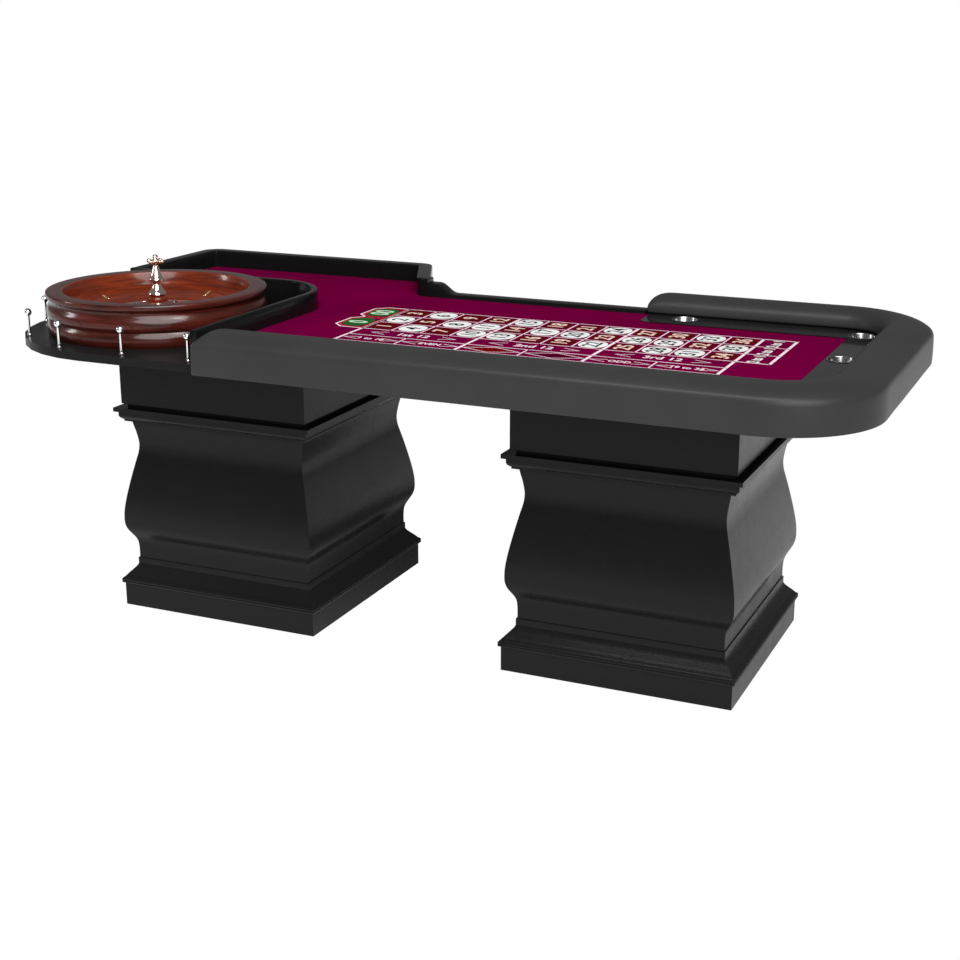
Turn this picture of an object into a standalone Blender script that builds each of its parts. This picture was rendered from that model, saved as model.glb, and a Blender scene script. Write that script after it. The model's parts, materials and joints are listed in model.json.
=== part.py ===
"""Roulette table: two square baluster pedestals, a padded armrest, chip walls and a spinning wheel.

Metres, +Z up. The origin is on the floor, under the middle of the table's bounding box.
+X runs along the table, away from the wheel. The players stand on the -Y side and at +X,
and the dealer stands in the notch on the +Y side.
"""

import math

import bmesh
import bpy
from mathutils import Matrix, Vector

# Overall size and fits
LENGTH = 2.489
DEPTH = 1.270
GAP = 0.0003                # clearance between pieces that touch
FACET_GAP = 0.0010          # clearance between round pieces, whose facets cut inside their circles
ARC_STEP = 12               # degrees turned by one facet of a rounded corner
END_X = LENGTH / 2
EDGE_Y = DEPTH / 2

# Heights
SLAB_BOTTOM = 0.806
SLAB_TOP = 0.829
FELT_TOP = 0.8655
FELT_THICK = 0.0015
SHELF_TOP = 0.867
ARMREST_BOTTOM = 0.808
CORE_TOP = 0.884
WALL_TOP = 0.920
NEAR_WALL_TOP = 0.906
LOW_WALL_TOP = 0.8765

# Pedestals
PEDESTAL_X = {"left": -0.639, "right": 0.583}
DEPTH_EXTRA = 0.0205        # how much further a pedestal's front and back stand out than its ends
PLINTH_HALF = 0.3205
PLINTH_TOP = 0.068
MOULDING_TOP = 0.125
PANEL_TOP = 0.565
CAP_MOULDING_TOP = 0.5955
CAP_PLATE_TOP = 0.6075
CAP_TOP = 0.618
CAP_HALF = 0.3225
RECESS_HALF = 0.292
NECK_HALF = 0.3045
BOARD = 0.022               # thickness of the pedestals' boards

# Plan of the table top
WALL_THICK = 0.045
FENCE_THICK = 0.020
WHEEL_PLATFORM_RADIUS = 0.377
SLAB_INSET = 0.033          # the armrest pad hangs this far outside the slab's edge
ARMREST_WIDTH = 0.138
ARMREST_CORNER = 0.260
ARMREST_FRONT_X = -0.487    # where the front run ends beside the wheel
ARMREST_BACK_X = 0.414      # where the back run ends at the dealer's notch
SHELF_BACK_X = 0.430        # where the back shelf ends
ARMREST_BACK_Y = 0.513      # outer face of the back run
CORE_INNER = 0.105          # the timber core's inner side, from the armrest's outer face
FENCE_X = -0.4878
FENCE_Y = 0.186
FENCE_END_Y = -0.600
FENCE_CORNER = 0.200
FELT_FRONT_Y = -0.370
FELT_RIGHT_X = 1.0225
FELT_BACK_Y = 0.245
SHELF_CORNER = 0.030
NOTCH_Y = 0.405             # outer face of the wall along the dealer's notch
NOTCH_LEFT_X = -0.2865      # where the tall wall hands over to the low one
NOTCH_CORNER_X = -0.295     # foot of the slanted run up to the back edge
BACK_CORNER_X = -0.400      # head of that slanted run
OGEE_START_X = -0.261       # where the low wall's top starts to fall
LOW_WALL_X = -0.202         # where the low wall reaches its low height

# Drop-in cup holders and the chrome posts round the wheel
CUP_PLACES = [(0.5475, 0.320), (1.055, 0.285), (1.0645, -0.030), (1.045, -0.405), (0.5475, -0.4335), (0.030, -0.4335)]
CUP_RADIUS = 0.035
CUP_FLANGE = 0.040
CUP_WALL = 0.0012
CUP_SIDES = 20

# Joints between the shelf's butted boards
SHELF_SPLITS_X = [-0.150, 0.289, 0.800]
SHELF_SPLITS_Y = [-0.220, 0.130]
POST_RING = 0.363           # radius of the arc of posts about the wheel's axis
POST_LINE_Y = -0.572
POST_LINE_X = [-0.535, -0.747, -0.952]
POST_ANGLES = [222, 189, 156]
POST_HEIGHT = 0.067
POST_RADIUS = 0.004
BALL_RADIUS = 0.0105
POST_SIDES = 10

# Roulette wheel
WHEEL_X = -0.8675
WHEEL_Y = -0.225
WHEEL_SIDES = 48
RIM_RADIUS = 0.313
RIM_TOP = 0.949
RIM_BAND = 0.264            # inner radius of the flat rim
PLATE_TOP = 0.8373          # top of the plate that carries the apron and the spindle
APRON_RADIUS = 0.2555       # outer and inner edges of the cone that the ball rolls down
APRON_TOP = 0.9115
APRON_INNER = 0.1725
APRON_LOW = 0.8835
RING_SPLIT = 0.872          # joint between the two turned rings of the bowl
BOWL_INSIDE = 0.297
ROTOR_RADIUS = 0.170
POCKETS = 38
POCKET_INNER = 0.118
POCKET_OUTER = 0.150
ROTOR_BOTTOM = 0.842
ROTOR_DECK = 0.852
POCKET_FLOOR = 0.858
FRET_TOP = 0.867
FRET_THICK = 0.0022
APEX_Z = 0.9095
APEX_RADIUS = 0.029
DOME_TOP = 0.9260           # top of the turned dome that carries the turret
SPINDLE_RADIUS = 0.006
SPINDLE_TOP = 0.890
BEARING_RADIUS = 0.014
DEFLECTORS = 8
DEFLECTOR_RADIUS = 0.212
DEFLECTOR_LENGTH = 0.034
DEFLECTOR_START = 36        # degrees from +X to the first one
BODY_TOP = 1.008            # top of the turret's two bells
CROSS_Z = 1.022
CROSS_REACH = 0.028
TURRET_TOP = 1.041


def clear_scene():
    for obj in list(bpy.data.objects):
        bpy.data.objects.remove(obj)


def finish(name, colour, roughness, metallic=0.0):
    """A plain Principled material."""
    material = bpy.data.materials.new(name)
    material.use_nodes = True
    shader = material.node_tree.nodes["Principled BSDF"]
    shader.inputs["Base Color"].default_value = (*colour, 1.0)
    shader.inputs["Roughness"].default_value = roughness
    shader.inputs["Metallic"].default_value = metallic
    return material


def add(name, bm, material, location=(0, 0, 0), parent=None):
    """Turns a bmesh into a named object with outward faces."""
    bmesh.ops.recalc_face_normals(bm, faces=bm.faces)
    mesh = bpy.data.meshes.new(name)
    bm.to_mesh(mesh)
    bm.free()
    mesh.shade_smooth()
    mesh.set_sharp_from_angle(angle=math.radians(30))
    mesh.materials.append(material)
    obj = bpy.data.objects.new(name, mesh)
    obj.location = location
    obj.parent = parent
    bpy.context.collection.objects.link(obj)
    return obj


def stations(corners, closed=False):
    """Walks a polyline of (x, y, corner radius) and rounds its corners.

    Gives (point, normal) pairs. The normal points left of the walk, and is longer
    at a sharp corner, so that point + distance * normal is a true offset line.
    """
    points = [Vector(corner[:2]) for corner in corners]
    count = len(points)
    found = []
    for index, corner in enumerate(corners):
        here = points[index]
        if not closed and index in (0, count - 1):
            other = points[1] if index == 0 else points[-2]
            along = (other - here).normalized() * (1 if index == 0 else -1)
            found.append((here, Vector((-along.y, along.x))))
            continue
        before = (here - points[index - 1]).normalized()
        after = (points[(index + 1) % count] - here).normalized()
        found += corner_stations(here, before, after, corner[2])
    return found


def corner_stations(here, before, after, radius):
    turn = before.angle_signed(after) * -1
    left = Vector((-before.y, before.x))
    if radius == 0:
        middle = (left + Vector((-after.y, after.x))).normalized()
        return [(here, middle / math.cos(turn / 2))]
    side = 1 if turn > 0 else -1
    start = here - before * radius * math.tan(abs(turn) / 2)
    centre = start + left * side * radius
    steps = max(2, math.ceil(math.degrees(abs(turn)) / ARC_STEP))
    found = []
    for step in range(steps + 1):
        normal = left.copy()
        normal.rotate(Matrix.Rotation(turn * step / steps, 2))
        found.append((centre - normal * side * radius, normal))
    return found


def offset(walk, distance):
    return [point + normal * distance for point, normal in walk]


def prism(outline, low, high):
    """A vertical prism over a closed outline of (x, y) points."""
    bm = bmesh.new()
    floor = bm.faces.new([bm.verts.new((point[0], point[1], low)) for point in outline])
    top = bmesh.ops.extrude_face_region(bm, geom=[floor])["geom"]
    raised = [item for item in top if isinstance(item, bmesh.types.BMVert)]
    bmesh.ops.translate(bm, verts=raised, vec=(0, 0, high - low))
    return bm


def skin(rings, closed):
    """A tube through rings of points, capped at its ends unless it closes on itself."""
    bm = bmesh.new()
    loops = [[bm.verts.new(point) for point in ring] for ring in rings]
    pairs = list(zip(loops, loops[1:]))
    if closed:
        pairs.append((loops[-1], loops[0]))
    for first, second in pairs:
        for index in range(len(first)):
            bm.faces.new((first[index - 1], first[index], second[index], second[index - 1]))
    if not closed:
        bm.faces.new(loops[0])
        bm.faces.new(loops[-1])
    return bm


def sweep(walk, section, closed=False):
    """Sweeps a closed section of (distance left of the walk, z) along the walk."""
    rings = []
    for point, normal in walk:
        rings.append([(*(point + normal * side), height) for side, height in section])
    return skin(rings, closed)


def lathe(profile, sides):
    """Turns a (radius, z) profile about Z. It either closes on itself or has both ends on the axis."""
    bm = bmesh.new()
    verts = [bm.verts.new((radius, 0, height)) for radius, height in profile]
    edges = [bm.edges.new(pair) for pair in zip(verts, verts[1:])]
    if profile[0][0] > 0:
        edges.append(bm.edges.new((verts[-1], verts[0])))
    bmesh.ops.spin(bm, geom=verts + edges, axis=(0, 0, 1), cent=(0, 0, 0), angle=math.tau, steps=sides, use_merge=True)
    bmesh.ops.remove_doubles(bm, verts=bm.verts, dist=1e-6)
    return bm


def rectangle(inner, outer, low, high):
    return [(inner, low), (outer, low), (outer, high), (inner, high)]


def cutter(name, bm, targets, location=(0, 0, 0), operation="DIFFERENCE"):
    """A hidden helper that is cut from, or joined to, each target by a Boolean modifier."""
    helper = add(name, bm, bpy.data.materials["guide"], location)
    helper.hide_render = True
    helper.display_type = "WIRE"
    for target in targets:
        boolean = target.modifiers.new(name, "BOOLEAN")
        boolean.operation = operation
        boolean.solver = "EXACT"
        boolean.object = helper


# --- Pedestals -------------------------------------------------------------------------------

def frame_walk(half):
    """Counterclockwise rectangle of a pedestal's outer face. Its left normal points inward."""
    deep = half + DEPTH_EXTRA
    return stations([(-half, -deep, 0), (half, -deep, 0), (half, deep, 0), (-half, deep, 0)], closed=True)


def ogee_profile():
    """Half width against height of the pedestal's body: fillet, hollow, belly, waist and flare."""
    fillet = [(0.2900, MOULDING_TOP + GAP), (0.2900, 0.143), (0.2868, 0.1445)]
    hollow = [(0.2865, 0.160), (0.2866, 0.178), (0.2885, 0.195), (0.2935, 0.208)]
    belly = [(0.3010, 0.221), (0.3085, 0.235), (0.3130, 0.251), (0.3140, 0.270), (0.3128, 0.293)]
    taper = [(0.3090, 0.320), (0.3030, 0.352), (0.2930, 0.398), (0.2830, 0.440), (0.2765, 0.466)]
    waist = [(0.2738, 0.489), (0.2750, 0.508), (0.2785, 0.530), (0.2825, 0.548), (0.2845, 0.559), (0.2845, PANEL_TOP)]
    return fillet + hollow + belly + taper + waist


def pedestal_body():
    """Four mitred and glued boards that follow the ogee, as one open box."""
    profile = ogee_profile()
    rings = []
    for x_side, y_side in ((-1, -1), (1, -1), (1, 1), (-1, 1)):
        outer = [(x_side * half, y_side * (half + DEPTH_EXTRA), height) for half, height in profile]
        inside = [(half - BOARD, height) for half, height in reversed(profile)]
        inner = [(x_side * half, y_side * (half + DEPTH_EXTRA), height) for half, height in inside]
        rings.append(outer + inner)
    return skin(rings, closed=True)


def pedestal(side, black):
    centre = (PEDESTAL_X[side], 0, 0)
    prefix = "pedestal_" + side

    def ring(name, half, section):
        add(f"{prefix}_{name}", sweep(frame_walk(half), section, closed=True), black, centre)

    ring("plinth", PLINTH_HALF, rectangle(0, BOARD, 0, PLINTH_TOP))
    base = PLINTH_TOP + GAP
    bead = [(0, base), (-0.0055, base + 0.0015), (-0.0075, 0.0735), (-0.0060, 0.0770), (-0.0075, 0.0805)]
    bead += [(-0.0045, 0.0850), (0, 0.0880)]
    cove = [(0.0090, 0.0985), (0.0190, 0.1090), (0.0270, 0.1180), (0.0305, MOULDING_TOP)]
    ring("base_moulding", PLINTH_HALF, bead + cove + [(0.0305 + BOARD, MOULDING_TOP), (0.0305 + BOARD, base)])
    add(f"{prefix}_body", pedestal_body(), black, centre)
    low = PANEL_TOP + GAP
    steps = [(0.0215, low), (0.0215, 0.5705), (0.0185, 0.5720), (0.0130, 0.5770), (0.0105, 0.5820)]
    steps += [(0.0105, CAP_MOULDING_TOP)]
    ring("cap_moulding", CAP_HALF, steps + [(0.0215 + 2 * BOARD, CAP_MOULDING_TOP), (0.0215 + 2 * BOARD, low)])
    cap_board(f"{prefix}_cap_board", centre, black)
    ring("neck_box", NECK_HALF, rectangle(0, BOARD, CAP_TOP + GAP, SLAB_BOTTOM - GAP))


def cap_board(name, centre, black):
    """A solid board whose top steps in, which leaves a dark line under the neck."""
    outlines = [
        (CAP_HALF, CAP_MOULDING_TOP + GAP),
        (CAP_HALF, CAP_PLATE_TOP),
        (RECESS_HALF, CAP_PLATE_TOP),
        (RECESS_HALF, CAP_TOP),
    ]
    rings = []
    for half, height in outlines:
        rings.append([(*point, height) for point in offset(frame_walk(half), 0)])
    add(name, skin(rings, closed=False), black, centre)


# --- Table top -------------------------------------------------------------------------------

def armrest_walk():
    corner = ARMREST_CORNER
    return stations([
        (ARMREST_FRONT_X, -EDGE_Y, 0),
        (END_X, -EDGE_Y, corner),
        (END_X, ARMREST_BACK_Y, corner),
        (ARMREST_BACK_X, ARMREST_BACK_Y, 0),
    ])


def tall_wall_corners():
    """Outer face of the tall wall, from the dealer's notch round the back to the wheel's side."""
    return [
        (NOTCH_LEFT_X, NOTCH_Y, 0),
        (NOTCH_CORNER_X, NOTCH_Y, 0.012),
        (BACK_CORNER_X, EDGE_Y, 0.050),
        (-END_X, EDGE_Y, 0.060),
        (-END_X, FENCE_Y + GAP, 0),
    ]


def fence_walk():
    """Felt side of the fence that closes off the wheel, from the front to the left end."""
    return stations([(FENCE_X, FENCE_END_Y, 0), (FENCE_X, FENCE_Y, FENCE_CORNER), (-END_X, FENCE_Y, 0)])


def felt_edge(corners_at_shelf):
    """The shelf's inner edge, from its front left end to the dealer's notch."""
    return offset(stations([
        (FENCE_X, FELT_FRONT_Y, 0),
        (FELT_RIGHT_X, FELT_FRONT_Y, 0),
        (FELT_RIGHT_X, FELT_BACK_Y, 0),
        (SHELF_BACK_X, FELT_BACK_Y, SHELF_CORNER),
        (SHELF_BACK_X, NOTCH_Y - WALL_THICK, 0),
    ]), corners_at_shelf)


def playfield_outline():
    """Everything inside the shelf, the walls and the fence, with a gap all round."""
    edge = felt_edge(GAP)
    edge[0] = Vector((FENCE_X + GAP, edge[0].y))
    edge[-1] = Vector((edge[-1].x, NOTCH_Y - WALL_THICK - GAP))
    walls = offset(stations(tall_wall_corners()), WALL_THICK + GAP)
    walls[-1] = Vector((walls[-1].x, FENCE_Y + GAP))
    fence = [point for point in reversed(offset(fence_walk(), -GAP)) if point.y > FELT_FRONT_Y]
    return edge + walls + fence[1:]


def shelf_outline():
    outer = offset(armrest_walk(), CORE_INNER + GAP)
    outer[0] = Vector((FENCE_X + GAP, outer[0].y))
    step = Vector((ARMREST_BACK_X, NOTCH_Y - WALL_THICK))
    inner = felt_edge(-GAP)
    inner[0] = Vector((FENCE_X + GAP, inner[0].y))
    return outer + [step] + list(reversed(inner))


def shelf_boards(shelf_finish):
    """The shelf as seven butted boards, from its front left end round to its back left end."""
    far = LENGTH
    left, middle, right = SHELF_SPLITS_X
    front, back = SHELF_SPLITS_Y
    regions = [
        ((-far, left), (-far, 0)),
        ((left, middle), (-far, 0)),
        ((middle, right), (-far, 0)),
        ((right, far), (-far, front)),
        ((right, far), (front, back)),
        ((right, far), (back, far)),
        ((-far, right), (0, far)),
    ]
    boards = []
    for number, (x_range, y_range) in enumerate(regions, start=1):
        bm = prism(shelf_outline(), SLAB_TOP + GAP, SHELF_TOP)
        trim(bm, (1, 0), x_range)
        trim(bm, (0, 1), y_range)
        boards.append(add(f"shelf_board_{number}", bm, shelf_finish))
    return boards


def trim(bm, across, limits):
    """Keeps what lies between two vertical planes, half a gap inside each, and closes the cuts."""
    for side, limit in zip((-1, 1), limits):
        normal = Vector((*across, 0)) * side
        plane = normal * (side * limit - GAP / 2)
        everything = bm.verts[:] + bm.edges[:] + bm.faces[:]
        bmesh.ops.bisect_plane(bm, geom=everything, plane_co=plane, plane_no=normal, clear_outer=True)
        open_edges = [edge for edge in bm.edges if edge.is_boundary]
        bmesh.ops.holes_fill(bm, edges=open_edges, sides=0)


def base_board(black):
    walk = stations([
        (-END_X, SLAB_INSET - EDGE_Y, WHEEL_PLATFORM_RADIUS),
        (END_X - SLAB_INSET, SLAB_INSET - EDGE_Y, ARMREST_CORNER - SLAB_INSET),
        (END_X - SLAB_INSET, ARMREST_BACK_Y - SLAB_INSET, ARMREST_CORNER - SLAB_INSET),
        (ARMREST_BACK_X, ARMREST_BACK_Y - SLAB_INSET, 0),
        (ARMREST_BACK_X, NOTCH_Y, 0),
        *tall_wall_corners()[1:-1],
    ], closed=True)
    add("base_board", prism(offset(walk, 0), SLAB_BOTTOM, SLAB_TOP), black)


def armrest_section():
    """The pad's section: an upside-down J that wraps the timber core and the slab's edge."""
    width = ARMREST_WIDTH
    inside = SLAB_INSET - GAP
    foot = SHELF_TOP + GAP
    outer = [(0.004, ARMREST_BOTTOM), (0, ARMREST_BOTTOM + 0.005), (0, 0.8830)]
    crown = [(0.0040, 0.8910), (0.0140, 0.9000), (0.0290, 0.9085), (0.0490, 0.9150), (0.0720, 0.9190)]
    fall = [(width - 0.0450, 0.9195), (width - 0.0280, 0.9150), (width - 0.0140, 0.9050), (width - 0.0040, 0.8915)]
    inner = [(width, 0.8790), (width, foot + 0.003), (width - 0.003, foot), (CORE_INNER + GAP, foot)]
    hollow = [(CORE_INNER + GAP, CORE_TOP + GAP), (inside, CORE_TOP + GAP), (inside, ARMREST_BOTTOM)]
    return outer + crown + fall + inner + hollow


def table_top(black, timber, board, felt, vinyl, shelf_finish):
    base_board(black)
    on_slab = SLAB_TOP + GAP
    play = playfield_outline()
    felt_bottom = FELT_TOP - FELT_THICK
    add("playfield_board", prism(play, on_slab, felt_bottom - GAP), board)
    add("layout_felt", prism(play, felt_bottom, FELT_TOP), felt)
    add("armrest_core", sweep(armrest_walk(), rectangle(SLAB_INSET, CORE_INNER, on_slab, CORE_TOP)), timber)
    add("armrest_pad", sweep(armrest_walk(), armrest_section()), vinyl)
    return shelf_boards(shelf_finish)


def wall_section(thick, low, high):
    """A board on edge with its two top corners eased."""
    ease = 0.003
    return [(0, low), (thick, low), (thick, high - ease), (thick - ease, high), (ease, high), (0, high - ease)]


def walls(black):
    low = SLAB_TOP + GAP
    add("tall_chip_wall", sweep(stations(tall_wall_corners()), wall_section(WALL_THICK, low, WALL_TOP)), black)
    add("wheel_fence", sweep(fence_walk(), wall_section(FENCE_THICK, low, WALL_TOP)), black)
    add("low_chip_wall", low_wall(low), black)


def low_wall(low):
    """The wall along the dealer's notch: its top falls in an ogee from the tall wall to the low height."""
    left = NOTCH_LEFT_X + GAP
    right = ARMREST_BACK_X - GAP
    steps = 8
    top = []
    for step in range(steps + 1):
        share = step / steps
        drop = (1 - math.cos(math.pi * share)) / 2
        height = NEAR_WALL_TOP + (LOW_WALL_TOP - NEAR_WALL_TOP) * drop
        top.append((OGEE_START_X + (LOW_WALL_X - OGEE_START_X) * share, height))
    outline = [(left, low), (left, NEAR_WALL_TOP)] + top + [(right, LOW_WALL_TOP), (right, low)]
    rings = [[(x, depth, z) for x, z in outline] for depth in (NOTCH_Y - WALL_THICK, NOTCH_Y)]
    return skin(rings, closed=False)


def cup_profile():
    """Thin drawn cup: its flange rests on the shelf, and its bottom stands on the slab."""
    low = SHELF_TOP + GAP
    bottom = SLAB_TOP + GAP
    inside = CUP_RADIUS - CUP_WALL
    outer = [(0, bottom), (CUP_RADIUS - 0.003, bottom), (CUP_RADIUS, bottom + 0.003), (CUP_RADIUS, low), (CUP_FLANGE, low)]
    inner = [(CUP_FLANGE - 0.001, low + 0.0018), (inside + 0.0015, low + 0.0018), (inside, low), (inside, bottom + 0.004)]
    return outer + inner + [(inside - 0.003, bottom + CUP_WALL), (0, bottom + CUP_WALL)]


def cup_holders(steel, shelf):
    drill = CUP_RADIUS + GAP
    for number, (x, y) in enumerate(CUP_PLACES, start=1):
        add(f"cup_holder_{number}", lathe(cup_profile(), CUP_SIDES), steel, (x, y, 0))
        hole = [(0, SLAB_TOP - 0.01), (drill, SLAB_TOP - 0.01), (drill, SHELF_TOP + 0.01), (0, SHELF_TOP + 0.01)]
        cutter(f"cup_hole_{number}", lathe(hole, CUP_SIDES), [shelf[-number]], (x, y, 0))


def post_profile():
    """A flanged rod with a ball on top."""
    foot = SLAB_TOP + GAP
    centre = SLAB_TOP + POST_HEIGHT
    rod = [(0, foot), (0.0075, foot), (0.0075, foot + 0.002), (POST_RADIUS, foot + 0.004)]
    start = math.asin(POST_RADIUS / BALL_RADIUS)
    facets = 6
    ball = []
    for step in range(facets + 1):
        angle = start + (math.pi - start) * step / facets
        ball.append((BALL_RADIUS * math.sin(angle), centre - BALL_RADIUS * math.cos(angle)))
    ball[-1] = (0, centre + BALL_RADIUS)
    return rod + ball


def post_places():
    places = [(x, POST_LINE_Y) for x in POST_LINE_X]
    for angle in POST_ANGLES:
        turn = math.radians(angle)
        places.append((WHEEL_X + POST_RING * math.cos(turn), WHEEL_Y + POST_RING * math.sin(turn)))
    return places


def posts(chrome):
    for number, (x, y) in enumerate(post_places(), start=1):
        add(f"guard_post_{number}", lathe(post_profile(), POST_SIDES), chrome, (x, y, 0))


# --- Wheel: the fixed bowl -------------------------------------------------------------------

def base_ring_profile():
    low = SLAB_TOP + GAP
    outer = [(0.3030, low), (0.3050, low + 0.003), (0.3095, 0.8390), (0.3120, 0.8490), (0.3110, 0.8590)]
    outer += [(0.3075, 0.8670), (0.3050, RING_SPLIT)]
    return [(BOWL_INSIDE, low)] + outer + [(BOWL_INSIDE, RING_SPLIT)]


def rim_ring_profile():
    low = RING_SPLIT + GAP
    outer = [(0.3050, low), (0.3085, 0.8770), (0.3118, 0.8860), (0.3125, 0.8960), (0.3100, 0.9070)]
    outer += [(0.3045, 0.9170), (0.3035, 0.9260), (0.3055, 0.9310), (0.3110, 0.9340), (RIM_RADIUS, 0.9370)]
    outer += [(RIM_RADIUS, 0.9455), (0.3100, RIM_TOP)]
    track = [(RIM_BAND + 0.003, RIM_TOP), (RIM_BAND, 0.9465), (0.2590, 0.9300), (0.2575, 0.9180), (0.2560, 0.9120)]
    return outer + track + [(0.2560, 0.9020), (0.2900, low)]


def apron_profile():
    """The conical stator that the ball rolls down. It stands on the wheel's base plate."""
    foot = PLATE_TOP + GAP
    skirt = 0.0115
    thick = 0.008
    top = [(APRON_RADIUS, APRON_TOP), (APRON_INNER, APRON_LOW), (APRON_INNER, APRON_LOW - thick)]
    under = [(APRON_RADIUS - skirt, APRON_TOP - 0.0125), (APRON_RADIUS - skirt, foot), (APRON_RADIUS, foot)]
    return under + top


def bowl(parent, wood, steel):
    add("wheel_base_ring", lathe(base_ring_profile(), WHEEL_SIDES), wood, parent=parent)
    add("wheel_rim_ring", lathe(rim_ring_profile(), WHEEL_SIDES), wood, parent=parent)
    add("ball_apron", lathe(apron_profile(), WHEEL_SIDES), wood, parent=parent)
    low = SLAB_TOP + GAP
    plate = [(0, low), (BOWL_INSIDE - GAP, low), (BOWL_INSIDE - GAP, PLATE_TOP), (0, PLATE_TOP)]
    add("wheel_base_plate", lathe(plate, WHEEL_SIDES), wood, parent=parent)
    foot = PLATE_TOP + GAP
    shaft = [(0, foot), (0.018, foot), (0.018, foot + 0.003), (SPINDLE_RADIUS, foot + 0.004)]
    shaft += [(SPINDLE_RADIUS, SPINDLE_TOP - 0.002), (SPINDLE_RADIUS - 0.002, SPINDLE_TOP), (0, SPINDLE_TOP)]
    add("wheel_spindle", lathe(shaft, CUP_SIDES), steel, parent=parent)


def deflectors(parent, brass):
    """Canoe-shaped studs on the apron, by turns across and along the slope."""
    slope = math.atan2(APRON_TOP - APRON_LOW, APRON_RADIUS - APRON_INNER)
    height = APRON_LOW + (DEFLECTOR_RADIUS - APRON_INNER) * math.tan(slope)
    for index in range(DEFLECTORS):
        along = (index + 1) % 2
        length = DEFLECTOR_LENGTH / 2
        width = 0.0035
        bm = bmesh.new()
        rim = [(length, 0), (length / 2, width), (-length / 2, width), (-length, 0), (-length / 2, -width), (length / 2, -width)]
        base = [bm.verts.new((x, y, GAP)) for x, y in rim]
        ridge = [bm.verts.new((x, 0, 0.006)) for x in (length / 2, -length / 2)]
        bm.faces.new(base)
        bm.faces.new((base[0], base[1], ridge[0]))
        bm.faces.new((base[1], base[2], ridge[1], ridge[0]))
        bm.faces.new((base[2], base[3], ridge[1]))
        bm.faces.new((base[3], base[4], ridge[1]))
        bm.faces.new((base[4], base[5], ridge[0], ridge[1]))
        bm.faces.new((base[5], base[0], ridge[0]))
        turn = math.radians(DEFLECTOR_START) + math.tau * index / DEFLECTORS
        placed = Matrix.Rotation(turn, 4, "Z") @ Matrix.Translation((DEFLECTOR_RADIUS, 0, height))
        placed = placed @ Matrix.Rotation(-slope, 4, "Y") @ Matrix.Rotation(along * math.pi / 2, 4, "Z")
        bmesh.ops.transform(bm, matrix=placed @ Matrix.Translation((0, 0, 0.0006)), verts=bm.verts)
        add(f"deflector_{index + 1}", bm, brass, parent=parent)


# --- Wheel: the spinning rotor ---------------------------------------------------------------

def pocket_ring():
    """A channel divided by radial frets, with one pocket for each number."""
    bm = bmesh.new()
    low = ROTOR_DECK + GAP
    pitch = math.tau / POCKETS
    fret = FRET_THICK / POCKET_OUTER

    def place(radius, angle, height):
        return bm.verts.new((radius * math.cos(angle), radius * math.sin(angle), height))

    columns = []
    for index in range(POCKETS):
        for angle in (index * pitch, index * pitch + fret):
            columns.append({
                side: [place(radius, angle, z) for z in (low, POCKET_FLOOR, FRET_TOP)]
                for side, radius in (("in", POCKET_INNER), ("out", POCKET_OUTER))
            })
    for index, first in enumerate(columns):
        second = columns[(index + 1) % len(columns)]
        bm.faces.new((first["in"][0], second["in"][0], second["out"][0], first["out"][0]))
        bm.faces.new((first["in"][1], first["in"][2], first["out"][2], first["out"][1]))
        is_fret = index % 2 == 0
        for side in ("in", "out"):
            a, b = first[side], second[side]
            if is_fret:
                bm.faces.new((a[0], b[0], b[1], b[2], a[2], a[1]))
            else:
                bm.faces.new((a[0], b[0], b[1], a[1]))
        level = 2 if is_fret else 1
        bm.faces.new((first["in"][level], second["in"][level], second["out"][level], first["out"][level]))
    return bm


def rotor_cone_profile():
    """Turned cone with a blind bore from below that clears the spindle."""
    low = ROTOR_DECK + GAP
    edge = POCKET_INNER - FACET_GAP
    bore = SPINDLE_RADIUS + 0.002
    bore_top = SPINDLE_TOP + 0.003
    outer = [(bore, low), (edge, low), (edge, FRET_TOP + 0.002), (0.1120, FRET_TOP + 0.0055), (0.0600, 0.8930)]
    outer += [(APEX_RADIUS + 0.012, 0.9030), (APEX_RADIUS + 0.003, APEX_Z - 0.001), (0, APEX_Z)]
    return [(0, bore_top), (bore, bore_top)] + outer


def turret_body_profile():
    """Two bells on a stem, between the base collar and the cross."""
    low = DOME_TOP + GAP
    lower_bell = [(0, low), (0.0235, low), (0.0260, low + 0.002), (0.0245, 0.9330), (0.0170, 0.9450), (0.0120, 0.9530)]
    upper_bell = [(0.0110, 0.9600), (0.0170, 0.9655), (0.0220, 0.9700), (0.0210, 0.9745), (0.0140, 0.9900), (0.0085, 1.0020)]
    return lower_bell + upper_bell + [(0.0070, BODY_TOP), (0, BODY_TOP)]


def turret_cross(parent, gold):
    low = BODY_TOP + GAP
    hub_top = [(0.0095, CROSS_Z - 0.005), (0.0095, CROSS_Z + 0.005), (0.0060, 1.0290), (0.0080, 1.0340), (0.0055, 1.0395)]
    hub = [(0, low), (0.0065, low), (0.0065, 1.0120)] + hub_top + [(0, TURRET_TOP)]
    cross = add("turret_cross", lathe(hub, 16), gold, parent=parent)
    reach = CROSS_REACH
    arm = [(0, -reach), (0.0048, -reach + 0.001), (0.0062, -reach + 0.005), (0.0052, -reach + 0.010), (0.0042, -0.006)]
    arm += [(0.0042, 0.006), (0.0052, reach - 0.010), (0.0062, reach - 0.005), (0.0048, reach - 0.001), (0, reach)]
    for name, axis in (("turret_arm_x", "Y"), ("turret_arm_y", "X")):
        bm = lathe(arm, 12)
        bmesh.ops.transform(bm, matrix=Matrix.Rotation(math.pi / 2, 4, axis), verts=bm.verts)
        cutter(name, bm, [cross], (WHEEL_X, WHEEL_Y, CROSS_Z), "UNION")


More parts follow.
